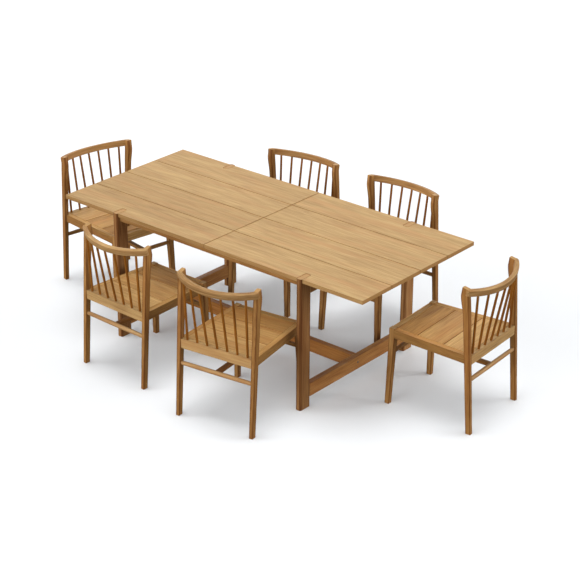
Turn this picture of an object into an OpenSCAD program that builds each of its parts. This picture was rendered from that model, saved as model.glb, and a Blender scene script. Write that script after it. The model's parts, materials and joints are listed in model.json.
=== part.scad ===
// Patio dining set: a plank table on two trestles and six spindle-back chairs.
// +X runs along the table, +Z is up, and the origin is on the floor under the
// middle of the whole set. All sizes are in millimetres.
// Each chair is drawn once in its own frame: its origin is on the floor midway
// between the rear feet, and its +Y points the way the sitter faces.

/* [Table] */
// Length of the table top
table_length = 2100; // [2000:10:2200]
// Width of the table top
table_width = 950; // [900:10:1000]
// Height of the table top above the floor
table_height = 750; // [730:5:770]
// Thickness of the top planks
plank_thick = 22; // [18:1:26]
// Gap between neighbouring planks
plank_gap = 3.5; // [2:0.5:5]
// Distance of each trestle from the middle of the table
trestle_x = 652; // [600:2:700]
// Width of a table leg along the table
leg_width = 35; // [32:1:40]
// Depth of a table leg across the table
leg_depth = 80; // [70:1:90]
// How far a table leg stands out past the edge of the top
leg_proud = 9; // [2:1:14]
// Height of the trestle rails and stretchers
stretcher_height = 75; // [60:1:90]
// Height of the lower stretchers above the floor
stretcher_floor_gap = 58; // [40:1:100]

/* [Chair] */
// Height of the seat surface
seat_height = 434; // [430:1:450]
// Width of the seat across the outer faces of the side rails at the back
seat_back_width = 456; // [450:1:460]
// Width of the seat across the front legs
seat_front_width = 414; // [408:1:430]
// Distance from the rear feet to the front of the seat
seat_depth = 521; // [510:1:530]
// Thickness of the seat boards
board_thick = 18; // [15:1:20]
// Spacing of the rear posts, centre to centre
post_spacing = 450; // [446:1:456]
// Distance of the back of a rear post in front of its foot, per 100 mm of height
post_rake = 6.55; // [5:0.05:8]
// Spindle diameter
spindle_d = 13; // [10:0.5:14]
// Diameter of the round stretchers
round_stretcher_d = 24; // [16:1:28]

/* [Top rail of the chair] */
// Radius of the inside of the bent rail
rail_radius = 364; // [350:1:380]
// Thickness of the rail
rail_thick = 25; // [22:1:28]
// Height of the rail
rail_height = 35.5; // [30:0.5:38]
// Backward tilt of the plane that the rail is bent in, in degrees
rail_tilt = 11.5; // [8:0.5:16]
// Height of the top inside edge of the rail at its middle
rail_mid_height = 783; // [770:1:790]
// Position of that edge behind the rear feet
rail_mid_back = 16.3; // [8:0.1:20]

/* [Hidden] */

// The table's middle, measured from the middle of the whole set
set_shift = [-17.762, 27.201];

// Each chair: name, x and y of its origin from the table's middle, heading
CHAIRS = [
    ["left_end_chair", -1419, 73, -99.6],
    ["near_left_chair", -344, -834, -1.3],
    ["near_right_chair", 438, -890, 8],
    ["far_left_chair", -355, 818, 185.6],
    ["far_right_chair", 358, 839, 179.1],
    ["right_end_chair", 1459, 119, 93.3]
];

// Colours of the oiled hardwood and of the hardware
TOP_WOOD = [0.80, 0.65, 0.46];
LEG_WOOD = [0.67, 0.47, 0.27];
SEAT_WOOD = [0.71, 0.51, 0.31];
SPINDLE_WOOD = [0.55, 0.35, 0.18];
STEEL = [0.70, 0.70, 0.72];

// Table, derived sizes
center_seam = 3;
planks_per_half = 4;
plank_width = (table_width - (planks_per_half - 1) * plank_gap) / planks_per_half;
top_under = table_height - plank_thick;
leg_outer_y = table_width / 2 + leg_proud;
leg_center_y = leg_outer_y - leg_depth / 2;
leg_inner_y = leg_outer_y - leg_depth;
leg_corner_r = 11;
notch_gap = 0.5;
rail_thick_table = 35;
batten_width = 70;
batten_thick = 20;
batten_end_inset = 70;
side_batten_width = 25;
side_batten_height = 25;
side_batten_inset = 10;
stretcher_mid_z = stretcher_floor_gap + stretcher_height / 2;
bolt_r = 4;
bolt_head_r = 6.5;
bolt_head_h = 8;
bolt_recess_r = 7.5;
bolt_recess_depth = 12;
bolt_length = 78;
nut_r = 6;
nut_length = 22;
bolt_clearance = 0.3;
nut_from_end = 45;

// Chair, derived sizes
post_foot_d = 29.5;
post_extra_d = 6;
post_foot_w = 22;
post_top_w = 27;
post_back_foot = -5.5;
post_top_height = 800;
bulge_height = 751;
bulge_depth = 12;
bulge_below = 60;
bulge_above = 32;
frame_height = 48;
rear_rail_height = 53;
rear_rail_back = 24;
rear_rail_thick = 29;
rear_rail_half = 212.6;
side_rail_thick = 30;
front_rail_thick = 32;
front_leg_w = 34;
front_leg_d = 34;
front_foot_in = 189;
front_foot_out = 215;
front_foot_back = 503;
front_foot_front = 530;
front_leg_top = seat_height + 5;
frame_under = seat_height - frame_height;
seat_front = seat_depth - 0.5;
leg_back = seat_depth - front_leg_d;
board_gap = 3;
board_side_gap = 0.4;
joint_gap = 0.1;
board_edges = [rear_rail_back + rear_rail_thick + 1, 201.5, 360.5, leg_back];
cleat_size = 20;
stretcher_z = 296;
rear_stretcher_y = 29.5;
front_stretcher_y = 508;
flat_stretcher_w = 30;
flat_stretcher_h = 18;
spindle_count = 7;
spindle_foot_y = 38.4;
spindle_foot_pitch = 60.7;
spindle_top_pitch = 9.7;
spindle_top_out = 3.5;
spindle_depth = 14;
socket_clearance = 0.1;
post_steps = 24;

// ---------------------------------------------------------------- helpers

// Rectangle with round corners, centred
module round_rect(w, d, r) {
    square([w - 2 * r, d], center = true);
    square([w, d - 2 * r], center = true);
    for (sx = [-1, 1], sy = [-1, 1])
        translate([sx * (w / 2 - r), sy * (d / 2 - r)]) circle(r = r, $fn = 32);
}

// Round bar between two points
module rod(p, q, r) {
    d = q - p;
    translate(p)
        rotate([0, acos(d[2] / norm(d)), atan2(d[1], d[0])])
            rotate([0, 0, 45])
                cylinder(h = norm(d), r = r, $fn = 32);
}

// Solid whose outline is side in the Y-Z plane and front in the X-Z plane
module two_view_solid(side, front) {
    reach = 700;
    intersection() {
        translate([-reach, 0, 0])
            rotate([90, 0, 90]) linear_extrude(2 * reach) polygon(side);
        translate([0, reach, 0])
            rotate([90, 0, 0]) linear_extrude(2 * reach) polygon(front);
    }
}

module at_table() {
    translate([set_shift[0], set_shift[1], 0]) children();
}

module at_chair(chair) {
    translate([set_shift[0] + chair[1], set_shift[1] + chair[2], 0])
        rotate([0, 0, chair[3]]) children();
}

// ---------------------------------------------------------------- table

// The place that one leg fills, with room all round it
module leg_outline(room) {
    round_rect(leg_width + 2 * room, leg_depth + 2 * room, leg_corner_r + room);
}

module trestle_leg(side, sign_y) {
    translate([side * trestle_x, sign_y * leg_center_y, 0])
        linear_extrude(table_height) leg_outline(0);
}

module top_half(side) {
    half = table_length / 2 - center_seam / 2;
    color(TOP_WOOD)
        difference() {
            for (i = [0 : planks_per_half - 1])
                translate([side > 0 ? center_seam / 2 : -table_length / 2,
                           -table_width / 2 + i * (plank_width + plank_gap), top_under])
                    cube([half, plank_width, plank_thick]);
            for (sign_y = [-1, 1])
                translate([side * trestle_x, sign_y * leg_center_y, top_under - 1])
                    linear_extrude(plank_thick + 2) leg_outline(notch_gap);
        }
}

module left_top_planks() { at_table() top_half(-1); }
module right_top_planks() { at_table() top_half(1); }

// Battens that the planks are screwed to, across the seam and near both ends,
// and two long ones just inside the long edges, from leg to leg
module under_top_battens() {
    length = table_width - 80;
    end_x = table_length / 2 - batten_end_inset - batten_width / 2;
    side_length = 2 * trestle_x - leg_width;
    side_y = table_width / 2 - side_batten_inset - side_batten_width / 2;
    color(LEG_WOOD)
        at_table() {
            for (x = [-end_x, 0, end_x])
                translate([x - batten_width / 2, -length / 2, top_under - batten_thick])
                    cube([batten_width, length, batten_thick]);
            for (y = [-side_y, side_y])
                translate([-side_length / 2, y - side_batten_width / 2, top_under - side_batten_height])
                    cube([side_length, side_batten_width, side_batten_height]);
        }
}

module trestle_legs(side) {
    color(LEG_WOOD)
        at_table() for (sign_y = [-1, 1]) trestle_leg(side, sign_y);
}

module left_trestle_legs() { trestle_legs(-1); }
module right_trestle_legs() { trestle_legs(1); }

// Rail across the table between the two legs of a trestle, at height z
module cross_rail(side, z) {
    translate([side * trestle_x - rail_thick_table / 2, -leg_inner_y, z])
        cube([rail_thick_table, 2 * leg_inner_y, stretcher_height]);
}

module upper_rail(side) {
    color(LEG_WOOD) at_table() cross_rail(side, top_under - stretcher_height);
}

module left_upper_rail() { upper_rail(-1); }
module right_upper_rail() { upper_rail(1); }

// Bolt hole with its recess for the head, from outside the trestle inwards
module bolt_space(side, room) {
    outer = side * (trestle_x + rail_thick_table / 2);
    translate([outer, 0, stretcher_mid_z]) rotate([0, -side * 90, 0]) {
        translate([0, 0, -1]) cylinder(h = bolt_recess_depth + 1, r = bolt_recess_r, $fn = 48);
        cylinder(h = bolt_recess_depth + bolt_length, r = bolt_r + room, $fn = 48);
    }
}

module nut_place(side) {
    translate([side * (trestle_x - rail_thick_table / 2 - nut_from_end), 0,
               stretcher_mid_z]) children();
}

module cross_stretcher(side) {
    color(LEG_WOOD)
        at_table()
            difference() {
                cross_rail(side, stretcher_floor_gap);
                bolt_space(side, bolt_clearance);
            }
}

module left_cross_stretcher() { cross_stretcher(-1); }
module right_cross_stretcher() { cross_stretcher(1); }

module long_stretcher() {
    length = 2 * trestle_x - rail_thick_table;
    color(LEG_WOOD)
        at_table()
            difference() {
                translate([-length / 2, -rail_thick_table / 2, stretcher_floor_gap])
                    cube([length, rail_thick_table, stretcher_height]);
                for (side = [-1, 1]) {
                    bolt_space(side, bolt_clearance);
                    nut_place(side) rotate([90, 0, 0])
                        cylinder(h = nut_length, r = nut_r + socket_clearance,
                                 center = true, $fn = 48);
                }
            }
}

module stretcher_bolts() {
    color(STEEL)
        at_table()
            for (side = [-1, 1])
                translate([side * (trestle_x + rail_thick_table / 2 - bolt_recess_depth),
                           0, stretcher_mid_z])
                    rotate([0, -side * 90, 0]) {
                        cylinder(h = bolt_length - 4, r = bolt_r, $fn = 48);
                        translate([0, 0, -bolt_head_h])
                            cylinder(h = bolt_head_h, r = bolt_head_r, $fn = 48);
                    }
}

module barrel_nuts() {
    color(STEEL)
        at_table()
            for (side = [-1, 1])
                nut_place(side)
                    difference() {
                        rotate([90, 0, 0])
                            cylinder(h = nut_length - 1, r = nut_r, center = true, $fn = 48);
                        rotate([0, 90, 0])
                            cylinder(h = 3 * nut_r, r = bolt_r + 0.05, center = true, $fn = 48);
                    }
}

// ---------------------------------------------------------------- chair

// Back and front faces of a rear post, seen from the side, at height z
function post_back(z) = post_back_foot + post_rake * z / 100;
function post_swell(z) =
    bulge_depth * exp(-pow((z - bulge_height) / (z < bulge_height ? bulge_below : bulge_above), 2));
function post_front(z) = post_back(z) + post_foot_d + post_extra_d * z / post_top_height + post_swell(z);

// Half width of a rear post, seen from the front, at height z
function post_half(z) = (post_foot_w + (post_top_w - post_foot_w) * z / post_top_height) / 2;

// Height of the top surface of the chair back, which tilts down towards the back
function back_top(y) = rail_mid_height + (y + rail_mid_back) * tan(rail_tilt);

module rear_post(side) {
    last_z = post_top_height - 14;
    levels = [for (i = [0 : post_steps]) last_z * i / post_steps];
    front_tip = post_front(post_top_height) - 1;
    back_tip = post_back(last_z);
    two_view_solid(
        concat([for (z = levels) [post_front(z), z]],
               [[front_tip, back_top(front_tip)], [back_tip, back_top(back_tip)]],
               [[post_back_foot, 0]]),
        [[side * (post_spacing / 2 - post_half(0)), 0],
         [side * (post_spacing / 2 + post_half(0)), 0],
         [side * (post_spacing / 2 + post_half(1000)), 1000],
         [side * (post_spacing / 2 - post_half(1000)), 1000]]);
}

// Centre of a front leg below the seat frame, seen from the front, at height z
function front_leg_center(z) =
    let (foot = (front_foot_in + front_foot_out) / 2, top = (seat_front_width - front_leg_w) / 2)
    foot + (top - foot) * z / frame_under;

module front_leg(side) {
    out = seat_front_width / 2;
    inner = out - front_leg_w;
    two_view_solid(
        [[front_foot_back, 0], [front_foot_front, 0], [seat_depth, frame_under],
         [seat_depth, front_leg_top], [leg_back, front_leg_top], [leg_back, frame_under]],
        [[side * front_foot_in, 0], [side * front_foot_out, 0], [side * out, frame_under],
         [side * out, front_leg_top], [side * inner, front_leg_top],
         [side * inner, frame_under]]);
}

// Outer face of a side rail at depth y
function side_rail_out(y) =
    seat_back_width / 2 - (seat_back_width - seat_front_width) / 2
    * (y - rear_rail_back - rear_rail_thick) / (leg_back - rear_rail_back - rear_rail_thick);
function side_rail_in(y) = side_rail_out(y) - side_rail_thick;

// Strip in plan from y0 to y1, between two distances from the chair's middle
module side_strip(side, y0, y1, room_in, room_out) {
    polygon([[side * (side_rail_in(y0) + room_in), y0],
             [side * (side_rail_in(y0) + room_out), y0],
             [side * (side_rail_in(y1) + room_out), y1],
             [side * (side_rail_in(y1) + room_in), y1]]);
}

module chair_posts_and_legs() {
    for (side = [-1, 1]) {
        rear_post(side);
        front_leg(side);
    }
}

function rail_point(angle, radius, z) =
    let (y = rail_radius - radius * cos(angle))
    [radius * sin(angle),
     -rail_mid_back + y * cos(rail_tilt) - z * sin(rail_tilt),
     rail_mid_height + y * sin(rail_tilt) + z * cos(rail_tilt)];

function spindle_foot(k) = [k * spindle_foot_pitch, spindle_foot_y, seat_height];
function spindle_head(k) =
    rail_point(k * spindle_top_pitch, rail_radius + rail_thick / 2 + spindle_top_out, -rail_height);
function spindle_dir(k) =
    (spindle_head(k) - spindle_foot(k)) / norm(spindle_head(k) - spindle_foot(k));

// One spindle, let into the seat and into the top rail by depth
module spindle(k, r, depth) {
    rod(spindle_foot(k) - depth * spindle_dir(k), spindle_head(k) + depth * spindle_dir(k), r);
}

module all_spindles(r, depth) {
    last = (spindle_count - 1) / 2;
    for (k = [-last : last]) spindle(k, r, depth);
}

module spindles() {
    color(SPINDLE_WOOD) all_spindles(spindle_d / 2, spindle_depth);
}

module rear_posts() {
    color(LEG_WOOD) for (side = [-1, 1]) rear_post(side);
}

module front_legs() {
    color(LEG_WOOD) for (side = [-1, 1]) front_leg(side);
}

// Bent rail, cut where it meets the rear posts
module top_rail() {
    half_angle = 36.5;
    color(LEG_WOOD)
        difference() {
            translate([0, -rail_mid_back, rail_mid_height]) rotate([rail_tilt, 0, 0])
                translate([0, rail_radius, 0]) rotate([0, 0, -90 - half_angle])
                    rotate_extrude(angle = 2 * half_angle, $fn = 180)
                        translate([rail_radius + rail_thick / 2, -rail_height / 2])
                            round_rect(rail_thick, rail_height, 6);
            for (side = [-1, 1]) rear_post(side);
            all_spindles(spindle_d / 2 + socket_clearance, spindle_depth + 1);
        }
}

module seat_frame() {
    front_in = seat_front_width / 2 - front_leg_w;
    color(SEAT_WOOD)
        difference() {
            union() {
                translate([-rear_rail_half, rear_rail_back, seat_height - rear_rail_height])
                    cube([2 * rear_rail_half, rear_rail_thick, rear_rail_height]);
                translate([-front_in, seat_front - front_rail_thick, frame_under])
                    cube([2 * front_in, front_rail_thick, frame_height]);
                translate([0, 0, frame_under])
                    linear_extrude(frame_height)
                        for (side = [-1, 1])
                            side_strip(side, rear_rail_back + rear_rail_thick + joint_gap,
                                       leg_back, 0, side_rail_thick);
            }
            for (side = [-1, 1]) rear_post(side);
            all_spindles(spindle_d / 2 + socket_clearance, spindle_depth + 1);
        }
}

module seat_boards() {
    color(SEAT_WOOD)
        translate([0, 0, seat_height - board_thick])
            linear_extrude(board_thick)
                for (i = [0 : 2]) {
                    y0 = board_edges[i] + (i > 0 ? board_gap : 0);
                    y1 = board_edges[i + 1] - (i == 2 ? 0.5 : 0);
                    polygon([[-side_rail_in(y0) + board_side_gap, y0],
                             [side_rail_in(y0) - board_side_gap, y0],
                             [side_rail_in(y1) - board_side_gap, y1],
                             [-side_rail_in(y1) + board_side_gap, y1]]);
                }
}

// Strips inside the side rails that carry the seat boards
module seat_cleats() {
    color(SEAT_WOOD)
        translate([0, 0, seat_height - board_thick - cleat_size])
            linear_extrude(cleat_size)
                for (side = [-1, 1])
                    side_strip(side, board_edges[0] + 8, leg_back - 8, -cleat_size, 0);
}

module stretchers() {
    r = round_stretcher_d / 2;
    color(LEG_WOOD)
        difference() {
            union() {
                for (end = [[post_spacing / 2, rear_stretcher_y],
                            [front_leg_center(stretcher_z), front_stretcher_y]])
                    rod([-end[0], end[1], stretcher_z], [end[0], end[1], stretcher_z], r);
            }
            chair_posts_and_legs();
        }
    color(LEG_WOOD)
        difference() {
            translate([-flat_stretcher_w / 2, rear_stretcher_y,
                       stretcher_z - flat_stretcher_h / 2])
                cube([flat_stretcher_w, front_stretcher_y - rear_stretcher_y, flat_stretcher_h]);
            for (y = [rear_stretcher_y, front_stretcher_y])
                translate([0, y, stretcher_z]) rotate([0, 90, 0])
                    cylinder(h = 100, r = r + 0.05, center = true, $fn = 32);
        }
}

// ---------------------------------------------------------------- nodes

left_top_planks();
right_top_planks();
under_top_battens();
left_trestle_legs();
right_trestle_legs();
left_upper_rail();
right_upper_rail();
left_cross_stretcher();
right_cross_stretcher();
long_stretcher();
stretcher_bolts();
barrel_nuts();
for (chair = CHAIRS) {
    at_chair(chair) rear_posts();
    at_chair(chair) front_legs();
    at_chair(chair) top_rail();
    at_chair(chair) spindles();
    at_chair(chair) seat_frame();
    at_chair(chair) seat_boards();
    at_chair(chair) seat_cleats();
    at_chair(chair) stretchers();
}
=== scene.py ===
"""The looks of the patio dining set: every wooden piece as its own mesh, the woods, floor, lights and camera.

Lengths are in millimetres until add_piece turns them into metres. Each chair is built in its own frame:
origin on the floor midway between the rear feet, +Y the way the sitter faces. The table is built about
its own middle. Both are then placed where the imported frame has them.
"""
import json
import random
from math import cos, exp, hypot, pi, radians, sin, sqrt, tan

import bmesh
import bpy
from mathutils import Matrix, Vector


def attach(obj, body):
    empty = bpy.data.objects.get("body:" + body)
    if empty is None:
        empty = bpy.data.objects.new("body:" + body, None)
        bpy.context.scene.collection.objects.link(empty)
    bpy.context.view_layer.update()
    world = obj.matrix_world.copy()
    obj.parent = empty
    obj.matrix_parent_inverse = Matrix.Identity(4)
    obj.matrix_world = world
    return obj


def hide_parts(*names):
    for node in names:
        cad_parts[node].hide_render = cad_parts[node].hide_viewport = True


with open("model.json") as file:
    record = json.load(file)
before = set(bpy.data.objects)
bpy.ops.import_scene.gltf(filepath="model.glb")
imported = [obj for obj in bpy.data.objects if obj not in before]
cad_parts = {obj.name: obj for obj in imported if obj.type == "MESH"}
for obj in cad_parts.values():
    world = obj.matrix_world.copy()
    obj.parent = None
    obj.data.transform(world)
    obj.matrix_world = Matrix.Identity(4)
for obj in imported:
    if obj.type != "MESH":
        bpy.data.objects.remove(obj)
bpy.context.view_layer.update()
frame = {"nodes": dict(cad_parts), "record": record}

MM = 0.001
ON_FLOOR = 0.0005      # metres above the floor that still count as standing on it
CHAIRS = ("left_end_chair", "near_left_chair", "near_right_chair",
          "far_left_chair", "far_right_chair", "right_end_chair")
SIDES = ((-1, "left"), (1, "right"))
NEAR_FAR = ((-1, "near"), (1, "far"))

# Table, in sizes that follow the CAD
TABLE_LENGTH, TABLE_WIDTH, TABLE_HEIGHT = 2100, 950, 750
PLANK_THICK, PLANK_GAP, CENTER_SEAM, PLANKS = 22, 3.5, 3, 4
TRESTLE_X, LEG_WIDTH, LEG_DEPTH, LEG_CORNER, LEG_PROUD = 652, 35, 80, 11, 9
RAIL_THICK, RAIL_HEIGHT, RAIL_INTO_LEG, STRETCHER_GAP = 35, 75, 4, 58
BOLT_RECESS_R, BOLT_RECESS_DEPTH = 7.5, 12
BATTEN_WIDTH, BATTEN_THICK, BATTEN_INSET, BATTEN_SHORT = 70, 20, 70, 40
SIDE_BATTEN_WIDTH, SIDE_BATTEN_HEIGHT, SIDE_BATTEN_INSET = 25, 25, 10
NOTCH_GAP = 0.5
TOP_UNDER = TABLE_HEIGHT - PLANK_THICK
LEG_INNER_Y = TABLE_WIDTH / 2 + LEG_PROUD - LEG_DEPTH

# Chair, in sizes that follow the CAD
SEAT_HEIGHT, FRAME_HEIGHT, SEAT_DEPTH = 434, 48, 521
POST_X, POST_TOP, POST_RAKE, POST_BACK, POST_DEPTH = 225, 800, 0.0655, -5.5, 29.5
POST_WIDTH, POST_WIDER, POST_DEEPER = 22, 5, 6
SWELL, SWELL_HEIGHT, SWELL_BELOW, SWELL_ABOVE = 12, 751, 60, 32
EAR_HEIGHT, EAR_REACH = 760, 45
EAR_OUTER, EAR_INNER, EAR_BACK = 4, 8, 2      # how much rounder the post's corners are at its ear
REAR_RAIL_BACK, REAR_RAIL_THICK, REAR_RAIL_HEIGHT = 24, 29, 53
SEAT_HALF_BACK, SEAT_HALF_FRONT, SIDE_THICK, FRONT_THICK = 228, 207, 30, 32
LEG_SIZE, LEG_TOP_PROUD, FOOT_IN, FOOT_OUT, FOOT_BACK, FOOT_FRONT = 34, 5, 189, 215, 503, 530
BOARD_THICK, BOARD_GAP, BOARD_EDGES, BOARD_PLAY, LAST_BOARD_PLAY = 18, 3, (54, 201.5, 360.5, 487), 0.3, 0.5
CLEAT, CLEAT_SHORT = 20, 8
FRONT_RAIL_BACK, FRAME_INTO_LEG, SIDE_INTO_REAR_RAIL = 0.5, 5, 2
STRETCHER_Z, REAR_STRETCHER_Y, FRONT_STRETCHER_Y = 296, 29.5, 508
ROUND_STRETCHER_R, ROUND_STRETCHER_SWELL, FLAT_WIDTH, FLAT_HEIGHT, FLAT_CORNER = 10.8, 1.5, 30, 18, 4
SPINDLE_END_R, SPINDLE_SWELL, SPINDLES, SPINDLE_FOOT_Y, SPINDLE_FOOT_PITCH = 6.3, 0.3, 7, 38.4, 60.7
SPINDLE_TOP_PITCH, SPINDLE_TOP_OUT, SPINDLE_SUNK = 9.7, 3.5, 12
RAIL_R, RAIL_BAR, RAIL_BAR_HEIGHT, RAIL_TILT = 364, 25, 35.5, radians(11.5)
RAIL_MID_Z, RAIL_MID_BACK, RAIL_HALF_ANGLE, RAIL_END_CORNER = 783, 16.3, radians(39.4), 16
RAIL_CORNERS, RAIL_BENDS, RAIL_END_STEPS = (6, 5, 3, 4), 48, 8
REAR_RAIL_FRONT = REAR_RAIL_BACK + REAR_RAIL_THICK
SEAT_UNDER = SEAT_HEIGHT - FRAME_HEIGHT
LEG_BACK = SEAT_DEPTH - LEG_SIZE

# Rounding of the wooden edges, which only these meshes have
PLANK_EDGE, RAIL_EDGE, BATTEN_EDGE, SIDE_BATTEN_EDGE, BOARD_EDGE, CLEAT_EDGE = 1.5, 2.5, 3, 1, 1.2, 1.5
FOOT_EDGE, TABLE_LEG_EDGE, POST_TOP_EDGE, LEG_TOP_EDGE = 2, 2, 5, 4
POST_CORNER, SHARP_ANGLE = 3, radians(40)
SHOULDER, CORNER_POINTS = 1.8, 7      # flats beside a rounded corner, and points per corner of a leg or post
LEAST_RADIUS, LEAST_LEAN = 0.3, 0.35  # of an inset corner, and of a corner's normal towards its side
SKEW = (0, 1, 0.2)                    # a direction that no bar has
END_RISE = 0.4                        # how much higher the rounded tops of posts and table legs end

dice = random.Random(7)


# ------------------------------------------------------------------ meshes

def rounded_ring(x0, x1, y0, y1, radii, inset=0.0, steps=4, shoulder=0.0):
    """Outline of a box with a radius at each corner: front right, front left, back left, back right.

    shoulder adds a point on the flat that far from each end of each arc."""
    points = []
    corners = ((x1, y1, 1, 1, 0), (x0, y1, -1, 1, 90), (x0, y0, -1, -1, 180), (x1, y0, 1, -1, 270))
    for (x, y, sx, sy, start), radius in zip(corners, radii):
        r = max(radius - inset, LEAST_RADIUS)
        arc = [radians(start + 90 * k / steps) for k in range(steps + 1)]
        arc = [(x - sx * (inset + r) + r * cos(a), y - sy * (inset + r) + r * sin(a)) for a in arc]
        if shoulder:
            before, after = radians(start - 90), radians(start + 180)
            arc.insert(0, (arc[0][0] + shoulder * cos(before), arc[0][1] + shoulder * sin(before)))
            arc.append((arc[-1][0] + shoulder * cos(after), arc[-1][1] + shoulder * sin(after)))
        points += arc
    return points


def loft(rings):
    """Vertices and faces of a solid through closed rings of equally many points, with both ends capped."""
    n = len(rings[0])
    verts = [p for ring in rings for p in ring]
    faces = [tuple(reversed(range(n))), tuple(range(len(verts) - n, len(verts)))]
    for k in range(len(rings) - 1):
        for i in range(n):
            j = (i + 1) % n
            faces.append((k * n + i, k * n + j, (k + 1) * n + j, (k + 1) * n + i))
    return verts, faces


def inset_outline(outline, distance):
    """The outline moved inwards by distance; the outline runs anticlockwise."""
    moved = []
    n = len(outline)
    for i, p in enumerate(outline):
        a, b = outline[i - 1], outline[(i + 1) % n]
        u = Vector((p[0] - a[0], p[1] - a[1])).normalized()
        v = Vector((b[0] - p[0], b[1] - p[1])).normalized()
        normal = Vector((-u.y - v.y, u.x + v.x)).normalized()
        reach = distance / max(LEAST_LEAN, normal.dot(Vector((-u.y, u.x))))
        moved.append((p[0] + normal.x * reach, p[1] + normal.y * reach))
    return moved


def prism(outline, z0, z1, edge, steps=3):
    """Upright slab of that outline, with its edges eased by edge.

    The bottom edge is round. The flat top lies edge below z1, inside a thin lip that ends just below z1."""
    quarter = [pi / 2 * k / steps for k in range(steps + 1)]
    eased = [inset_outline(outline, edge * (1 - cos(a))) for a in quarter]
    bottom = [[(x, y, z0 + edge * (1 - sin(a))) for x, y in points] for a, points in zip(quarter, eased)]
    top = [[(x, y, z1 - edge * (1 - cos(a)) if a else z1 - edge) for x, y in points]
           for a, points in zip(quarter, eased)]
    return loft(bottom[::-1] + top)


def box_outline(x0, x1, y0, y1):
    return [(x0, y0), (x1, y0), (x1, y1), (x0, y1)]


def turned(shape, order):
    """The shape with its three coordinates in another order."""
    verts, faces = shape
    return [tuple(v[i] for i in order) for v in verts], faces


def bar_axes(a, b):
    """Unit vectors along a straight bar from a to b and across it both ways."""
    axis = (b - a).normalized()
    side = axis.cross(Vector(SKEW)).normalized()
    return axis, side, axis.cross(side)


def bar(a, b, radius, rings=12, sides=16, end=1.2):
    """Round bar from a to b; radius(t) is its radius at t from 0 to 1. Both ends are eased."""
    axis, side, up = bar_axes(a, b)
    length = (b - a).length
    turns = [2 * pi * i / sides for i in range(sides)]
    out = []
    for t in [0, end / length] + [k / rings for k in range(1, rings)] + [1 - end / length, 1]:
        r = radius(t) - (end if t in (0, 1) else 0)
        middle = a + axis * length * t
        out.append([tuple(middle + side * r * cos(turn) + up * r * sin(turn)) for turn in turns])
    return loft(out)


def new_mesh(name, points, faces):
    """Mesh of those points and faces, with every face turned outwards."""
    mesh = bpy.data.meshes.new(name)
    mesh.from_pydata(points, [], faces)
    work = bmesh.new()
    work.from_mesh(mesh)
    bmesh.ops.recalc_face_normals(work, faces=work.faces)
    work.to_mesh(mesh)
    work.free()
    return mesh


def new_object(name, data):
    made = bpy.data.objects.new(name, data)
    bpy.context.collection.objects.link(made)
    return made


def bored(shape, middle, radius, depth):
    """The shape with a round blind hole along X, whose mouth has its middle at that point."""
    reach = Vector((depth, 0, 0))
    bore = bar(Vector(middle) - reach, Vector(middle) + reach, lambda t: radius, rings=1, sides=32, end=0.01)
    body, tool = [new_object(name, new_mesh(name, [Vector(v) for v in verts], faces))
                  for name, (verts, faces) in (("bored_body", shape), ("bore", bore))]
    cut = body.modifiers.new("cut", "BOOLEAN")
    cut.object = tool
    cut.solver = "EXACT"
    bpy.context.view_layer.update()
    baked = body.evaluated_get(bpy.context.evaluated_depsgraph_get()).to_mesh()
    result = [tuple(v.co) for v in baked.vertices], [tuple(p.vertices) for p in baked.polygons]
    for made in (body, tool):
        bpy.data.objects.remove(made)
    return result


# ------------------------------------------------------------------ woods

# Layers of the grain: stretch along and across the fibres, detail, distortion, and share in the figure
FIBRE_LAYERS = {"broad": (1.6, 14, 2.0, 0.4, 1.2), "streaks": (4.5, 95, 3.0, 0.3, 1.6),
                "strokes": (7.0, 260, 2.0, 0.2, 1.5), "lines": (14.0, 520, 2.0, 0.0, 1.0)}
# The same without a share: bands that meander like flames, pores, redness and rings on the ends
FLAME, PORES, REDNESS, RINGS = (0.9, 7.0, 1.0, 0.3), (38.0, 1300.0, 1.0), (1.8, 22, 2.0), (260.0, 260.0, 2.0)
FLAME_BANDS, FLAME_SHARE, RING_SHARE = 70.0, 0.10, 0.45
PORE_LEVEL, PORE_DARK, PORE_DEPTH = 0.66, 0.12, 0.8
TINT_CONTRAST, TINT_LEVEL, TINT_SHARE = 2.2, 1.5, 0.9      # of the red that comes and goes along a board
CORNER_PAINTED_SHADE = (0.60, 0.50, 0.43)                         # painted shade on the rounded corners of legs and posts
# Colour of the painted shade in the gaps between planks and seat boards and on the table's plank edges and
# ends
PAINTED_SHADE_COLOUR = (0.130, 0.046, 0.006)
SHEEN, BUMP_HEIGHT, DULLNESS_SPREAD = 0.12, 0.0006, 0.25


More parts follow.
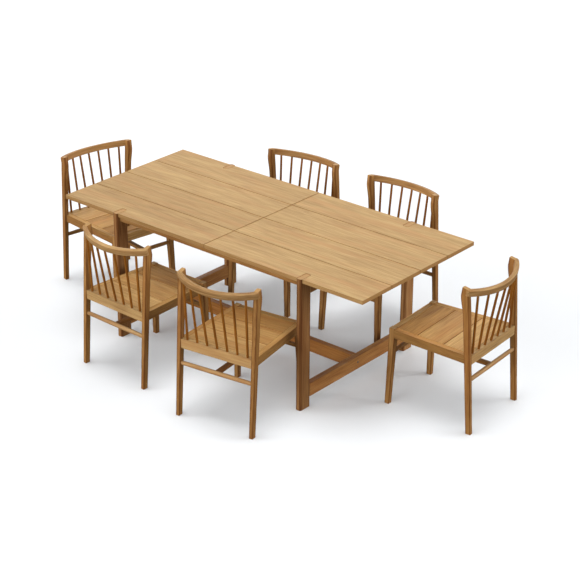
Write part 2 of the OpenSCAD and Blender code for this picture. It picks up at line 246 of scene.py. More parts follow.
class Shading:
    """A new material, with short ways to add nodes to it."""

    def __init__(self, name):
        self.material = bpy.data.materials.new(name)
        self.material.use_nodes = True
        self.nodes, self.links = self.material.node_tree.nodes, self.material.node_tree.links
        self.shader = self.nodes["Principled BSDF"]

    def feed(self, socket, value):
        """Gives a socket a number, a colour or another node's output."""
        if isinstance(value, tuple):
            socket.default_value = (*value, 1)
        elif isinstance(value, (int, float)):
            socket.default_value = value
        else:
            self.links.new(value, socket)

    def math(self, operation, a, b):
        node = self.nodes.new("ShaderNodeMath")
        node.operation = operation
        self.feed(node.inputs[0], a)
        self.feed(node.inputs[1], b)
        return node.outputs[0]

    def mix(self, a, b, factor, kind="MIX"):
        node = self.nodes.new("ShaderNodeMix")
        node.data_type = "RGBA"
        node.blend_type = kind
        node.clamp_factor = True
        for socket, value in ((node.inputs[0], factor), (node.inputs[6], a), (node.inputs[7], b)):
            self.feed(socket, value)
        return node.outputs[2]

    def attribute(self, name, output="Fac"):
        node = self.nodes.new("ShaderNodeAttribute")
        node.attribute_name = name
        return node.outputs[output]

    def noise(self, scale, detail=2.0, distortion=0.0):
        node = self.nodes.new("ShaderNodeTexNoise")
        node.inputs["Scale"].default_value = scale
        node.inputs["Detail"].default_value = detail
        node.inputs["Distortion"].default_value = distortion
        return node

    def stretched(self, place, along, across, detail, distortion=0.0):
        """Noise stretched along the fibres; place is the grain's place."""
        scaled = self.nodes.new("ShaderNodeVectorMath")
        scaled.operation = "MULTIPLY"
        scaled.inputs[1].default_value = (along, across, across)
        self.links.new(place, scaled.inputs[0])
        noise = self.noise(1.0, detail, distortion)
        self.links.new(scaled.outputs[0], noise.inputs["Vector"])
        return noise.outputs["Fac"]


def wood(name, light, dark, red, end_grain, figure, roughness, bump):
    """Oiled hardwood. The grain attribute holds, in metres, the place along and across the grain."""
    shading = Shading(name)
    math, mix = shading.math, shading.mix
    grain = shading.attribute("grain", "Vector")
    layers = {key: shading.stretched(grain, *layer[:4]) for key, layer in FIBRE_LAYERS.items()}
    flame = math("SINE", math("MULTIPLY", shading.stretched(grain, *FLAME), FLAME_BANDS), 0.0)
    pores = math("GREATER_THAN", shading.stretched(grain, *PORES), PORE_LEVEL)

    value = math("MULTIPLY", flame, FLAME_SHARE)
    for key, layer in FIBRE_LAYERS.items():
        value = math("ADD", value, math("MULTIPLY", math("SUBTRACT", layers[key], 0.5), layer[4]))
    value = math("ADD", math("MULTIPLY", value, figure), 0.5)
    value = math("SUBTRACT", value, math("MULTIPLY", pores, PORE_DARK))

    redness = math("MULTIPLY", shading.stretched(grain, *REDNESS), TINT_CONTRAST)
    redness = math("ADD", redness, math("SUBTRACT", shading.attribute("hue"), TINT_LEVEL))
    colour = mix(mix(dark, light, value), red, math("MULTIPLY", redness, TINT_SHARE))
    colour = mix(colour, shading.attribute("tone", "Color"), 1.0, "MULTIPLY")
    # Painted shade on the rounded corners
    colour = mix(colour, CORNER_PAINTED_SHADE, shading.attribute("edge"), "MULTIPLY")
    rings = shading.stretched(grain, *RINGS)
    colour = mix(colour, mix(end_grain, light, math("MULTIPLY", rings, RING_SHARE)), shading.attribute("end"))
    # Painted shade in the gaps and on the plank edges
    colour = mix(colour, PAINTED_SHADE_COLOUR, shading.attribute("gap"))
    shading.feed(shading.shader.inputs["Base Color"], colour)

    lines = layers["lines"]
    dull = math("ADD", math("MULTIPLY", math("SUBTRACT", lines, 0.5), DULLNESS_SPREAD), roughness)
    shading.feed(shading.shader.inputs["Roughness"], dull)
    shading.feed(shading.shader.inputs["Specular IOR Level"], SHEEN)
    relief = shading.nodes.new("ShaderNodeBump")
    relief.inputs["Strength"].default_value = bump
    relief.inputs["Distance"].default_value = BUMP_HEIGHT
    fibres = math("ADD", lines, layers["streaks"])
    shading.feed(relief.inputs["Height"], math("SUBTRACT", fibres, math("MULTIPLY", pores, PORE_DEPTH)))
    shading.feed(shading.shader.inputs["Normal"], relief.outputs[0])
    return shading.material


TOP = wood("top_wood", light=(0.500, 0.332, 0.142), dark=(0.305, 0.174, 0.066), red=(0.45, 0.230, 0.092),
           end_grain=(0.26, 0.125, 0.037), figure=0.78, roughness=0.55, bump=0.30)
FRAME = wood("frame_wood", light=(0.440, 0.250, 0.088), dark=(0.215, 0.095, 0.026), red=(0.31, 0.125, 0.033),
             end_grain=(0.39, 0.225, 0.085), figure=0.85, roughness=0.50, bump=0.30)
TRESTLE = wood("trestle_wood", light=(0.360, 0.175, 0.058), dark=(0.180, 0.070, 0.019),
               red=(0.25, 0.090, 0.024), end_grain=(0.42, 0.245, 0.092),
               figure=0.85, roughness=0.50, bump=0.30)
SEAT = wood("seat_wood", light=(0.580, 0.330, 0.105), dark=(0.300, 0.142, 0.041), red=(0.45, 0.190, 0.052),
            end_grain=(0.24, 0.11, 0.038), figure=0.70, roughness=0.55, bump=0.30)
SPINDLE = wood("spindle_wood", light=(0.260, 0.103, 0.016), dark=(0.120, 0.041, 0.006),
               red=(0.18, 0.062, 0.009), end_grain=(0.12, 0.05, 0.018),
               figure=0.70, roughness=0.42, bump=0.25)


def steel():
    """Zinc-plated steel, dulled outdoors."""
    shading = Shading("zinc_steel")
    clouds = shading.noise(350.0).outputs["Fac"]
    shading.feed(shading.shader.inputs["Metallic"], 1.0)
    grey = shading.mix((0.09, 0.085, 0.08), (0.16, 0.155, 0.15), clouds)
    shading.feed(shading.shader.inputs["Base Color"], grey)
    dull = shading.math("ADD", shading.math("MULTIPLY", clouds, DULLNESS_SPREAD), 0.45)
    shading.feed(shading.shader.inputs["Roughness"], dull)
    return shading.material


# ------------------------------------------------------------------ pieces

GRAIN_FIRST = {"x": (0, 1, 2), "y": (1, 0, 2), "z": (2, 0, 1)}
SQUARELY, END_ON, LEVEL = 0.7, 0.8, 0.5       # share of a face's normal that has to point that way
GREEN_FALL, BLUE_FALL, GREEN_WARM = 1.15, 1.35, 0.35      # dark wood is redder, warm wood more orange


def color_gains(lightness, warm):
    """Factors on red, green and blue for a piece of that lightness and share of orange."""
    return lightness, lightness ** GREEN_FALL / warm ** GREEN_WARM, lightness ** BLUE_FALL / warm


def face_values(mesh, name, values):
    mesh.attributes.new(name, "FLOAT", "FACE").data.foreach_set("value", values)


def set_grain(mesh, verts, grain):
    """Gives each vertex its place along and across the fibres, in a log of its own."""
    offset = Vector((dice.uniform(0, 40), dice.uniform(0, 9), dice.uniform(0, 9)))
    order = GRAIN_FIRST.get(grain)
    coords = [grain(v) if order is None else tuple(v[i] for i in order) for v in verts]
    values = [c * MM + o for point in coords for c, o in zip(point, offset)]
    mesh.attributes.new("grain", "FLOAT_VECTOR", "POINT").data.foreach_set("vector", values)


def set_tones(mesh, tone, warm, upper):
    """Gives the faces their colour gains, and the piece a slight lightness and hue of its own."""
    vary = dice.uniform(0.95, 1.05)
    gains = []
    for polygon in mesh.polygons:
        # Upward faces take upper, painted lighter as if lit from above
        gains += color_gains(vary * (upper if upper and polygon.normal.z > SQUARELY else tone), warm)
    mesh.attributes.new("tone", "FLOAT_VECTOR", "FACE").data.foreach_set("vector", gains)
    hue = [dice.uniform(0.40, 0.60)] * len(mesh.vertices)
    mesh.attributes.new("hue", "FLOAT", "POINT").data.foreach_set("value", hue)


def end_faces(mesh, grain, place):
    """1 for the faces that show end grain, and 0 for the others."""
    if grain not in GRAIN_FIRST:
        return [0.0] * len(mesh.polygons)
    along = GRAIN_FIRST[grain][0]
    fibre = place.to_3x3() @ Vector([1.0 if i == along else 0.0 for i in range(3)])
    return [1.0 if abs(p.normal.dot(fibre)) > END_ON else 0.0 for p in mesh.polygons]


def painted_shade_corner_faces(mesh, corner):
    """1 for the rounded corners of a loft, which get painted shade, and 0 for its caps and flats."""
    sides = range(len(mesh.polygons) - 2)
    return [0.0, 0.0] + [0.0 if i % corner == corner - 1 else 1.0 for i in sides]


def add_piece(name, shape, grain, material, body, node, place,
              tone=1.0, warm=1.0, upper=None, corner=0, in_gap=None):
    """Adds one wooden piece. grain is the axis that the fibres follow, or a function of a vertex.

    tone is its lightness, and warm its share of orange; dark wood is redder too. upper is the lightness of
    its upward faces, painted lighter as if lit from above.
    corner is the number of points per rounded corner of a loft, whose corners get painted shade.
    in_gap(middle, normal) says how much painted shade darkens a face, from 0 to 1, as inside a narrow gap or
    on an edge that less light reaches."""
    verts, faces = shape
    mesh = new_mesh(name, [place @ (Vector(v) * MM) for v in verts], faces)
    set_grain(mesh, verts, grain)
    set_tones(mesh, tone, warm, upper)
    face_values(mesh, "end", end_faces(mesh, grain, place))
    # Painted shade on the rounded corners of legs and posts
    if corner:
        face_values(mesh, "edge", painted_shade_corner_faces(mesh, corner))
    # Painted shade, darkest in narrow gaps
    if in_gap:
        back = place.inverted()
        painted_shade = [in_gap(back @ p.center / MM, back.to_3x3() @ p.normal) for p in mesh.polygons]
        face_values(mesh, "gap", painted_shade)

    mesh.shade_smooth()
    mesh.set_sharp_from_angle(angle=SHARP_ANGLE)
    mesh.materials.append(material)
    piece = new_object(name, mesh)
    normals = piece.modifiers.new("even_shading", "WEIGHTED_NORMAL")
    normals.keep_sharp = True
    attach(piece, body)
    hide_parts(node)


def standing_feet(node):
    """The vertices of a CAD node that stand on the floor, and their middle, in the row frame."""
    feet = [v.co for v in frame["nodes"][node].data.vertices if v.co.z < ON_FLOOR]
    low = Vector((min(p.x for p in feet), min(p.y for p in feet), 0))
    high = Vector((max(p.x for p in feet), max(p.y for p in feet), 0))
    return feet, (low + high) / 2


# ------------------------------------------------------------------ table

TABLE_MIDDLE = (standing_feet("left_trestle_legs")[1] + standing_feet("right_trestle_legs")[1]) / 2
AT_TABLE = Matrix.Translation(TABLE_MIDDLE)
# The near legs' lower tones are painted shade, and the far legs' higher tones painted light
LEG_TONES = {("left", "near"): 0.84, ("right", "near"): 0.72, ("left", "far"): 1.1, ("right", "far"): 1.1}
LEG_LOOK, UPPER_RAIL_LOOK = {"warm": 0.8, "upper": 1.1}, {"tone": 0.56, "warm": 1.1}
CROSS_STRETCHER_LOOK, LONG_STRETCHER_LOOK = {"tone": 1.12, "warm": 1.1}, {"tone": 0.98, "warm": 1.4}
# The side battens' low tone is painted shade under the top's overhang
SIDE_BATTEN_LOOK = {"tone": 0.68}
# Painted shade on the planks: their outer long edges, their ends, and their faces inside the gaps and notches
OUTER_EDGE_PAINTED_SHADE, PLANK_END_PAINTED_SHADE, GAP_PAINTED_SHADE = 0.46, 0.15, 0.85


def plank_outline(x0, x1, y0, y1, notch_x, notch_side):
    """A plank seen from above, with the notch that takes a leg when it is an outer plank."""
    points = box_outline(x0, x1, y0, y1)
    if not notch_side:
        return points
    half = LEG_WIDTH / 2 + NOTCH_GAP
    r = LEG_CORNER + NOTCH_GAP
    depth = LEG_INNER_Y - NOTCH_GAP
    notch = []
    for start, sx in ((270, 1), (180, -1)):
        for k in range(7):
            a = radians(start + 90 - 15 * k)
            notch.append((notch_x + sx * (half - r) + r * cos(a), depth + r + r * sin(a)))
    notch = [(notch_x + half, TABLE_WIDTH / 2)] + notch + [(notch_x - half, TABLE_WIDTH / 2)]
    if notch_side > 0:
        return points[:3] + notch + points[3:]
    mirrored = [(x, -y) for x, y in reversed(notch)]
    return points[:1] + mirrored + points[1:]


def plank_painted_shade(middle, normal):
    """Painted shade on a plank's face: most in the gaps, the seam and the notches, some on the outer edges.
    """
    if abs(normal.z) > LEVEL:
        return 0.0
    if abs(middle.y) > TABLE_WIDTH / 2 - 1 and abs(normal.y) > SQUARELY:
        return OUTER_EDGE_PAINTED_SHADE
    return PLANK_END_PAINTED_SHADE if abs(middle.x) > TABLE_LENGTH / 2 - 2 else GAP_PAINTED_SHADE


def add_to_table(name, shape, grain, material, node, **looks):
    add_piece(name, shape, grain, material, "table", node, AT_TABLE, **looks)


def build_planks(side, word):
    width = (TABLE_WIDTH - (PLANKS - 1) * PLANK_GAP) / PLANKS
    x0, x1 = sorted((side * CENTER_SEAM / 2, side * TABLE_LENGTH / 2))
    notch_sides = [-1] + [0] * (PLANKS - 2) + [1]
    for i, notch_side in enumerate(notch_sides):
        y0 = -TABLE_WIDTH / 2 + i * (width + PLANK_GAP)
        outline = plank_outline(x0, x1, y0, y0 + width, side * TRESTLE_X, notch_side)
        shape = prism(outline, TOP_UNDER, TABLE_HEIGHT, PLANK_EDGE)
        add_to_table(f"{word}_top_plank_{i + 1}", shape, "x", TOP, f"{word}_top_planks", in_gap=plank_painted_shade)


def build_trestle(side, word):
    x = side * TRESTLE_X
    for sign, near in NEAR_FAR:
        y = sign * (LEG_INNER_Y + LEG_DEPTH / 2)
        outline = rounded_ring(x - LEG_WIDTH / 2, x + LEG_WIDTH / 2, y - LEG_DEPTH / 2, y + LEG_DEPTH / 2,
                               [LEG_CORNER] * 4, steps=CORNER_POINTS - 1)
        shape = prism(outline, 0, TABLE_HEIGHT + END_RISE, TABLE_LEG_EDGE)
        add_to_table(f"{word}_{near}_table_leg", shape, "z", TRESTLE, f"{word}_trestle_legs",
                     tone=LEG_TONES[word, near], corner=CORNER_POINTS, **LEG_LOOK)

    def cross_bar(z0):
        half = LEG_INNER_Y + RAIL_INTO_LEG
        outline = box_outline(-half, half, z0, z0 + RAIL_HEIGHT)
        return turned(prism(outline, x - RAIL_THICK / 2, x + RAIL_THICK / 2, RAIL_EDGE), (2, 0, 1))

    add_to_table(f"{word}_upper_rail", cross_bar(TOP_UNDER - RAIL_HEIGHT), "y", TRESTLE, f"{word}_upper_rail",
                 **UPPER_RAIL_LOOK)
    recess = (x + side * RAIL_THICK / 2, 0, STRETCHER_GAP + RAIL_HEIGHT / 2)
    shape = bored(cross_bar(STRETCHER_GAP), recess, BOLT_RECESS_R, BOLT_RECESS_DEPTH)
    add_to_table(f"{word}_cross_stretcher", shape, "y", TRESTLE, f"{word}_cross_stretcher",
                 **CROSS_STRETCHER_LOOK)


def build_long_stretcher():
    half = TRESTLE_X - RAIL_THICK / 2
    outline = box_outline(-half, half, STRETCHER_GAP, STRETCHER_GAP + RAIL_HEIGHT)
    shape = turned(prism(outline, -RAIL_THICK / 2, RAIL_THICK / 2, RAIL_EDGE), (0, 2, 1))
    add_to_table("long_stretcher_bar", shape, "x", TRESTLE, "long_stretcher", **LONG_STRETCHER_LOOK)


def build_battens():
    end_x = TABLE_LENGTH / 2 - BATTEN_INSET - BATTEN_WIDTH / 2
    half = TABLE_WIDTH / 2 - BATTEN_SHORT
    for x, word in ((-end_x, "left"), (0, "middle"), (end_x, "right")):
        outline = box_outline(x - BATTEN_WIDTH / 2, x + BATTEN_WIDTH / 2, -half, half)
        add_to_table(f"{word}_batten", prism(outline, TOP_UNDER - BATTEN_THICK, TOP_UNDER, BATTEN_EDGE), "y",
                     FRAME, "under_top_battens")
    end = TRESTLE_X - LEG_WIDTH / 2
    y0 = TABLE_WIDTH / 2 - SIDE_BATTEN_INSET - SIDE_BATTEN_WIDTH
    for sign, word in NEAR_FAR:
        outline = box_outline(-end, end, *sorted((sign * y0, sign * (y0 + SIDE_BATTEN_WIDTH))))
        shape = prism(outline, TOP_UNDER - SIDE_BATTEN_HEIGHT, TOP_UNDER, SIDE_BATTEN_EDGE)
        add_to_table(f"{word}_side_batten", shape, "x", FRAME, "under_top_battens", **SIDE_BATTEN_LOOK)


def plate_hardware():
    """The bolts and nuts keep their CAD shape, in steel."""
    metal = steel()
    for node in ("stretcher_bolts", "barrel_nuts"):
        materials = frame["nodes"][node].data.materials
        materials.clear()
        materials.append(metal)


def build_table():
    for side, word in SIDES:
        build_planks(side, word)
        build_trestle(side, word)
    build_long_stretcher()
    build_battens()
    plate_hardware()


# ------------------------------------------------------------------ chairs

SHADED_CHAIRS = ("left_end_chair", "far_left_chair", "far_right_chair")      # their top rail and rear stretcher get painted shade
# Lightness, warmth, and the lightness of the upward faces, painted lighter as if lit from above. The low
# lightness of the side rails, of the seat boards towards the front and of the stretchers under the seat is
# painted shade
CHAIR_LOOKS = {"rear_post": (0.73, 1.15, None), "front_leg": (0.72, 1.0, None),
               "top_rail": (0.80, 0.75, 1.05), "dark_top_rail": (0.72, 1.0, 0.90),
               "rear_seat_rail": (0.71, 0.62, 0.88), "front_seat_rail": (0.82, 0.85, 0.9),
               "side_rail": (0.46, 0.9, 1.0),
               "seat_board_1": (1.08, 0.80, None), "seat_board_2": (1.02, 0.90, None),
               "seat_board_3": (0.94, 1.15, None),
               "round_stretcher": (0.98, 0.7, None), "dark_round_stretcher": (0.62, 1.15, None),
               "flat_stretcher": (0.59, 1.4, None)}
SPINDLE_LOOK = {"tone": 0.98, "warm": 1.15}
# Painted shade on the seat boards' upright faces in the gaps
BOARD_GAP_PAINTED_SHADE = 0.8


def post_back(z):
    return POST_BACK + POST_RAKE * z


def post_front(z):
    reach = SWELL_BELOW if z < SWELL_HEIGHT else SWELL_ABOVE
    swell = SWELL * exp(-((z - SWELL_HEIGHT) / reach) ** 2)
    return post_back(z) + POST_DEPTH + POST_DEEPER * z / POST_TOP + swell


def back_top(y):
    """Height of the tilted plane that the top rail and the post ends share."""
    return RAIL_MID_Z + (y + RAIL_MID_BACK) * tan(RAIL_TILT)


def rear_post(side):
    """Rear post: raked, slightly wider towards the top, swelling forwards under its tilted rounded end."""

    def ring(z, inset=0.0, height=None):
        half = (POST_WIDTH + POST_WIDER * min(z, POST_TOP) / POST_TOP) / 2
        ear = exp(-((z - EAR_HEIGHT) / EAR_REACH) ** 2)
        outer, inner, back = (POST_CORNER + more * ear for more in (EAR_OUTER, EAR_INNER, EAR_BACK))
        radii = (outer, inner, back, back) if side > 0 else (inner, outer, back, back)
        outline = rounded_ring(side * POST_X - half, side * POST_X + half, post_back(z), post_front(z),
                               radii, inset, shoulder=SHOULDER)
        return [(x, y, z if height is None else height(y)) for x, y in outline]

    rings = [ring(0, FOOT_EDGE), ring(FOOT_EDGE)]
    rings += [ring(z) for z in range(60, 660, 60)]
    rings += [ring(z) for z in range(660, 780, 8)]
    for k in range(6):
        a = pi / 2 * k / 5
        rings.append(ring(POST_TOP - 8, POST_TOP_EDGE * (1 - cos(a)),
                          lambda y: back_top(y) + END_RISE - POST_TOP_EDGE * (1 - sin(a))))
    return loft(rings)


def front_leg(side):
    """Front leg: tapered towards the foot, standing a little above the seat with a rounded top."""
    top = SEAT_HEIGHT + LEG_TOP_PROUD

    def ring(z, inset=0.0):
        t = min(z / SEAT_UNDER, 1)
        inner = FOOT_IN + (SEAT_HALF_FRONT - LEG_SIZE - FOOT_IN) * t
        outer = FOOT_OUT + (SEAT_HALF_FRONT - FOOT_OUT) * t
        back = FOOT_BACK + (LEG_BACK - FOOT_BACK) * t
        front = FOOT_FRONT + (SEAT_DEPTH - FOOT_FRONT) * t
        x0, x1 = sorted((side * inner, side * outer))
        outline = rounded_ring(x0, x1, back, front, [POST_CORNER] * 4, inset, shoulder=SHOULDER)
        return [(x, y, z) for x, y in outline]

    rings = [ring(0, FOOT_EDGE), ring(FOOT_EDGE)] + [ring(z) for z in (80, 160, 240, 320, SEAT_UNDER)]
    for k in range(4):
        a = pi / 2 * k / 3
        rings.append(ring(top - LEG_TOP_EDGE * (1 - sin(a)), LEG_TOP_EDGE * (1 - cos(a))))
    return loft(rings)


def rail_point(angle, radius, z):
    """Point of the tilted top rail, from its angle and radius about the bend and its height."""
    y = RAIL_R - radius * cos(angle)
    return (radius * sin(angle), -RAIL_MID_BACK + y * cos(RAIL_TILT) - z * sin(RAIL_TILT),
            RAIL_MID_Z + y * sin(RAIL_TILT) + z * cos(RAIL_TILT))


def top_rail():
    """Bent rail: its section turns about an axis in front of the chair. Its outer end corners are round."""
    outer, last, corner = RAIL_R + RAIL_BAR, RAIL_HALF_ANGLE, RAIL_END_CORNER
    near_end = [corner * (1 - cos(pi / 2 * k / RAIL_END_STEPS)) for k in range(RAIL_END_STEPS + 1)]
    angles = [-last + s / outer for s in near_end]
    start, stop = angles[-1], -angles[-1]
    angles += [start + (stop - start) * k / RAIL_BENDS for k in range(1, RAIL_BENDS)]
    angles += [last - s / outer for s in reversed(near_end)]
    rings = []
    for angle in angles:
        gap = (last - abs(angle)) * outer
        cut = corner - sqrt(max(corner ** 2 - (corner - min(gap, corner)) ** 2, 0))
        outline = rounded_ring(RAIL_R, outer - cut, -RAIL_BAR_HEIGHT, 0, RAIL_CORNERS)
        rings.append([rail_point(angle, r, z) for r, z in outline])
    return loft(rings)


def rail_grain(v):
    """Place along the bend, across it and up it, for a point of the top rail."""
    x, y, z = v
    forward = RAIL_R - (y + RAIL_MID_BACK)
    return (Vector((x, forward)).angle_signed(Vector((0, 1)), 0) * -RAIL_R, hypot(x, forward) - RAIL_R, z)


def bar_grain(a, b):
    """Grain coordinates that follow a straight bar from a to b."""
    axes = bar_axes(a, b)
    return lambda v: tuple((Vector(v) - a).dot(axis) for axis in axes)


def spindle_ends(k):
    """Both ends of a spindle, let into the seat and the top rail; k counts from the middle one."""
    foot = Vector((k * SPINDLE_FOOT_PITCH, SPINDLE_FOOT_Y, SEAT_HEIGHT))
    head = Vector(rail_point(radians(k * SPINDLE_TOP_PITCH), RAIL_R + RAIL_BAR / 2 + SPINDLE_TOP_OUT,
                             -RAIL_BAR_HEIGHT))
    sunk = (head - foot).normalized() * SPINDLE_SUNK
    return foot - sunk, head + sunk


def side_out(y):
    """Half the width of the seat at that depth, which narrows towards the front."""
    share = (y - REAR_RAIL_FRONT) / (LEG_BACK - REAR_RAIL_FRONT)
    return SEAT_HALF_BACK + (SEAT_HALF_FRONT - SEAT_HALF_BACK) * share


def skewed(side, y0, y1, inner, outer):
    """Strip in plan between two distances inside the outer face of the side rail."""
    points = [(side_out(y0) - outer, y0), (side_out(y0) - inner, y0),
              (side_out(y1) - inner, y1), (side_out(y1) - outer, y1)]
    return points if side > 0 else [(-x, y) for x, y in reversed(points)]


# Painted shade on a seat board's upright faces, which face the narrow gaps
def board_painted_shade(middle, normal):
    return BOARD_GAP_PAINTED_SHADE if abs(normal.z) < LEVEL else 0.0


def build_back(add, look, dark):
    """Rear posts, front legs, top rail and spindles."""
    for side, word in SIDES:
        add(f"{word}_rear_post", rear_post(side), "z", FRAME, "rear_posts", corner=CORNER_POINTS,
            **look("rear_post"))
        add(f"{word}_front_leg", front_leg(side), "z", FRAME, "front_legs", corner=CORNER_POINTS,
            **look("front_leg"))
    # The darker top rail is painted shade
    kind = "dark_top_rail" if dark else "top_rail"
    add("bent_top_rail", top_rail(), rail_grain, FRAME, "top_rail", **look(kind))
    last = SPINDLES // 2
    for k in range(-last, last + 1):
        a, b = spindle_ends(k)
        add(f"spindle_{k + last + 1}", bar(a, b, lambda t: SPINDLE_END_R + SPINDLE_SWELL * sin(pi * t)),
            bar_grain(a, b), SPINDLE, "spindles", **SPINDLE_LOOK)


def build_seat(add, look):
    """Rails, cleats and boards of the seat."""
    rear = box_outline(-POST_X, POST_X, REAR_RAIL_BACK, REAR_RAIL_FRONT)
    add("rear_seat_rail", prism(rear, SEAT_HEIGHT - REAR_RAIL_HEIGHT, SEAT_HEIGHT, RAIL_EDGE), "x", SEAT,
        "seat_frame", **look("rear_seat_rail"))
    half, y1 = SEAT_HALF_FRONT - LEG_SIZE + FRAME_INTO_LEG, SEAT_DEPTH - FRONT_RAIL_BACK
    front = box_outline(-half, half, y1 - FRONT_THICK, y1)
    add("front_seat_rail", prism(front, SEAT_UNDER, SEAT_HEIGHT, RAIL_EDGE), "x", SEAT, "seat_frame",
        **look("front_seat_rail"))
    board_under = SEAT_HEIGHT - BOARD_THICK
    for side, word in SIDES:
        strip = skewed(side, REAR_RAIL_FRONT - SIDE_INTO_REAR_RAIL, LEG_BACK + FRAME_INTO_LEG, 0, SIDE_THICK)
        add(f"{word}_side_rail", prism(strip, SEAT_UNDER, SEAT_HEIGHT, RAIL_EDGE), "y", SEAT, "seat_frame",
            **look("side_rail"))
        cleat = skewed(side, BOARD_EDGES[0] + CLEAT_SHORT, LEG_BACK - CLEAT_SHORT, SIDE_THICK,
                       SIDE_THICK + CLEAT)
        add(f"{word}_seat_cleat", prism(cleat, board_under - CLEAT, board_under, CLEAT_EDGE), "y", SEAT,
            "seat_cleats")
    for i in range(3):
        y0 = BOARD_EDGES[i] + (BOARD_GAP if i else 0)
        y1 = BOARD_EDGES[i + 1] - (LAST_BOARD_PLAY if i == 2 else 0)
        back_half, front_half = [side_out(y) - SIDE_THICK - BOARD_PLAY for y in (y0, y1)]
        board = [(-back_half, y0), (back_half, y0), (front_half, y1), (-front_half, y1)]
        name = f"seat_board_{i + 1}"
        add(name, prism(board, board_under, SEAT_HEIGHT, BOARD_EDGE), "x", SEAT, "seat_boards",
            in_gap=board_painted_shade, **look(name))


def build_stretchers(add, look, dark):
    """Two round stretchers from side to side, and a flat one from the rear one to the front one."""
    t = STRETCHER_Z / SEAT_UNDER
    front_x = ((FOOT_IN + FOOT_OUT) / 2) * (1 - t) + (SEAT_HALF_FRONT - LEG_SIZE / 2) * t
    for word, x, y, shaded in (("rear", POST_X, REAR_STRETCHER_Y, dark),
                             ("front", front_x, FRONT_STRETCHER_Y, True)):
        a, b = Vector((-x, y, STRETCHER_Z)), Vector((x, y, STRETCHER_Z))
        shape = bar(a, b, lambda t: ROUND_STRETCHER_R + ROUND_STRETCHER_SWELL * sin(pi * t))
        # The front stretcher, and the rear one of the chairs in shade, get painted shade
        kind = "dark_round_stretcher" if shaded else "round_stretcher"
        add(f"{word}_round_stretcher", shape, bar_grain(a, b), FRAME, "stretchers", **look(kind))
    flat = rounded_ring(-FLAT_WIDTH / 2, FLAT_WIDTH / 2, STRETCHER_Z - FLAT_HEIGHT / 2,
                        STRETCHER_Z + FLAT_HEIGHT / 2, [FLAT_CORNER] * 4, steps=3)
    rings = [[(x, y, z) for x, z in flat] for y in (REAR_STRETCHER_Y, 200, 350, FRONT_STRETCHER_Y)]
    add("flat_stretcher", loft(rings), "y", FRAME, "stretchers", **look("flat_stretcher"))


def chair_place(chair):
    """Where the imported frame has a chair: its slide runs backwards, and its rear feet give its origin."""
    joint = next(j for j in frame["record"]["behaviour"]["joints"] if j["child"] == chair)
    facing = -Vector(joint["axis"]).normalized()
    feet, _ = standing_feet(f"{chair}_rear_posts")
    along = [p.dot(facing) for p in feet]
    right = Vector((facing.y, -facing.x, 0))
    across = [p.dot(right) for p in feet]
    origin = facing * (min(along) - POST_BACK * MM) + right * (min(across) + max(across)) / 2
    turn = Matrix((right, facing, (0, 0, 1))).transposed()
    return Matrix.Translation(origin) @ turn.to_4x4()


def build_chair(chair):
    place = chair_place(chair)
    chair_tone = dice.uniform(0.97, 1.03)
    dark = chair in SHADED_CHAIRS

    def add(name, shape, grain, material, node, **looks):
        add_piece(f"{chair}_{name}", shape, grain, material, chair, f"{chair}_{node}", place, **looks)

    def look(kind):
        tone, warm, upper = CHAIR_LOOKS[kind]
        return {"tone": chair_tone * tone, "warm": warm, "upper": upper and chair_tone * upper}

    build_back(add, look, dark)
    build_seat(add, look)
    build_stretchers(add, look, dark)


# ------------------------------------------------------------------ floor, light, camera

CAMERA_AZIMUTH, CAMERA_ELEVATION, CAMERA_ROLL = 40.09, 25.30, 0.24
CAMERA_DISTANCE, CAMERA_LENS = 9.2672, 105.61
CAMERA_TARGET = TABLE_MIDDLE + Vector((0.1832, 0.007, 0.37))
FLOOR_REACH = 60
FLOOR_PAPER, FLOOR_SEEN_BY_SET = (0.850, 0.87, 0.890, 1), (0.05, 0.05, 0.05, 1)
AMBIENT, OVERHEAD_SUN = 0.04, 1.52
SUN_SOFTNESS, LOW_SUN_ELEVATION = 40, 12
# Low suns round the set: degrees from the camera's azimuth, and strength
LOW_SUNS = {"front": (0, 1.2), "front_right": (45, 0.9), "right": (90, 2.7), "back_right": (135, 0.8),
            "back": (180, 0.9), "back_left": (225, 1.0), "left": (270, 2.5), "front_left": (315, 2.4)}


def for_camera_only(tree, seen, other, output):
    """Camera rays meet one shader, and all other rays the other one."""
    rays, mixed = tree.nodes.new("ShaderNodeLightPath"), tree.nodes.new("ShaderNodeMixShader")
    tree.links.new(rays.outputs["Is Camera Ray"], mixed.inputs[0])
    tree.links.new(other.outputs[0], mixed.inputs[1])
    tree.links.new(seen.outputs[0], mixed.inputs[2])
    tree.links.new(mixed.outputs[0], tree.nodes[output].inputs[0])


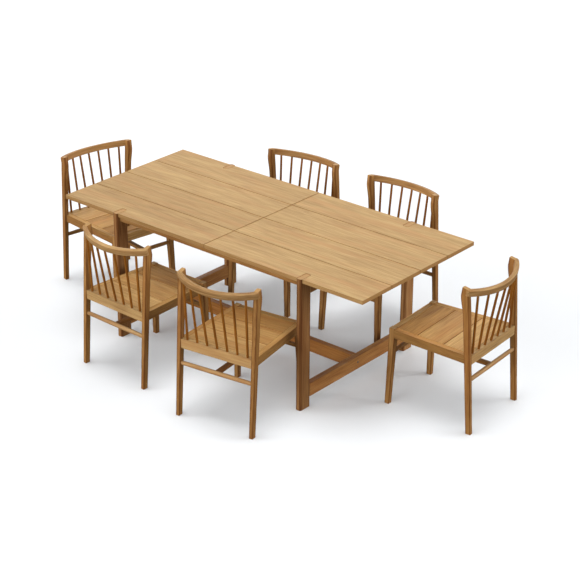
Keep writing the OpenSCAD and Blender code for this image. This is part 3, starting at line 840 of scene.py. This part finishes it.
def build_floor():
    """A white floor that throws almost no light back, so undersides and upright faces stay deep."""
    mesh = bpy.data.meshes.new("floor")
    corners = box_outline(-FLOOR_REACH, FLOOR_REACH, -FLOOR_REACH, FLOOR_REACH)
    mesh.from_pydata([(x, y, 0) for x, y in corners], [], [(0, 1, 2, 3)])
    floor = new_object("floor", mesh)
    material = bpy.data.materials.new("floor_paper")
    material.use_nodes = True
    paper = material.node_tree.nodes["Principled BSDF"]
    paper.inputs["Base Color"].default_value = FLOOR_PAPER
    paper.inputs["Roughness"].default_value = 0.9
    paper.inputs["Specular IOR Level"].default_value = 0.0
    dark = material.node_tree.nodes.new("ShaderNodeBsdfDiffuse")
    dark.inputs["Color"].default_value = FLOOR_SEEN_BY_SET
    for_camera_only(material.node_tree, paper, dark, "Material Output")
    mesh.materials.append(material)


def direction(azimuth, elevation):
    """Unit vector away from the set, at the camera's kind of azimuth and elevation in degrees."""
    a, e = radians(azimuth), radians(elevation)
    return Vector((sin(a) * cos(e), -cos(a) * cos(e), sin(e)))


def soft_sun(name, azimuth, elevation, strength):
    """Far, soft light from that side."""
    lamp = bpy.data.lights.new(name, "SUN")
    lamp.energy = strength
    lamp.angle = radians(SUN_SOFTNESS)
    light = new_object(name, lamp)
    away = direction(azimuth, elevation)
    light.location = away * 10
    light.rotation_euler = away.to_track_quat("Z", "Y").to_euler()


def build_camera():
    data = bpy.data.cameras.new("camera")
    data.sensor_width = 36
    data.lens = CAMERA_LENS
    data.clip_end = 200
    camera = new_object("camera", data)
    back = direction(CAMERA_AZIMUTH, CAMERA_ELEVATION)
    level = Vector((cos(radians(CAMERA_AZIMUTH)), sin(radians(CAMERA_AZIMUTH)), 0))
    roll = radians(CAMERA_ROLL)
    right = level * cos(roll) + back.cross(level) * sin(roll)
    turn = Matrix((right, back.cross(right), back)).transposed()
    camera.matrix_world = Matrix.Translation(CAMERA_TARGET + back * CAMERA_DISTANCE) @ turn.to_4x4()
    bpy.context.scene.camera = camera


def build_lights():
    world = bpy.data.worlds.new("studio")
    world.use_nodes = True
    background = world.node_tree.nodes["Background"]
    background.inputs["Color"].default_value = (1, 1, 1, 1)
    background.inputs["Strength"].default_value = AMBIENT
    backdrop = world.node_tree.nodes.new("ShaderNodeBackground")
    backdrop.inputs["Color"].default_value = (1, 1, 1, 1)
    for_camera_only(world.node_tree, backdrop, background, "World Output")
    bpy.context.scene.world = world
    bpy.context.scene.view_settings.view_transform = "Standard"
    soft_sun("overhead", 0, 90, OVERHEAD_SUN)
    for name, (turn, strength) in LOW_SUNS.items():
        soft_sun(name, CAMERA_AZIMUTH + turn, LOW_SUN_ELEVATION, strength)


build_table()
for chair_name in CHAIRS:
    build_chair(chair_name)
build_floor()
build_lights()
build_camera()
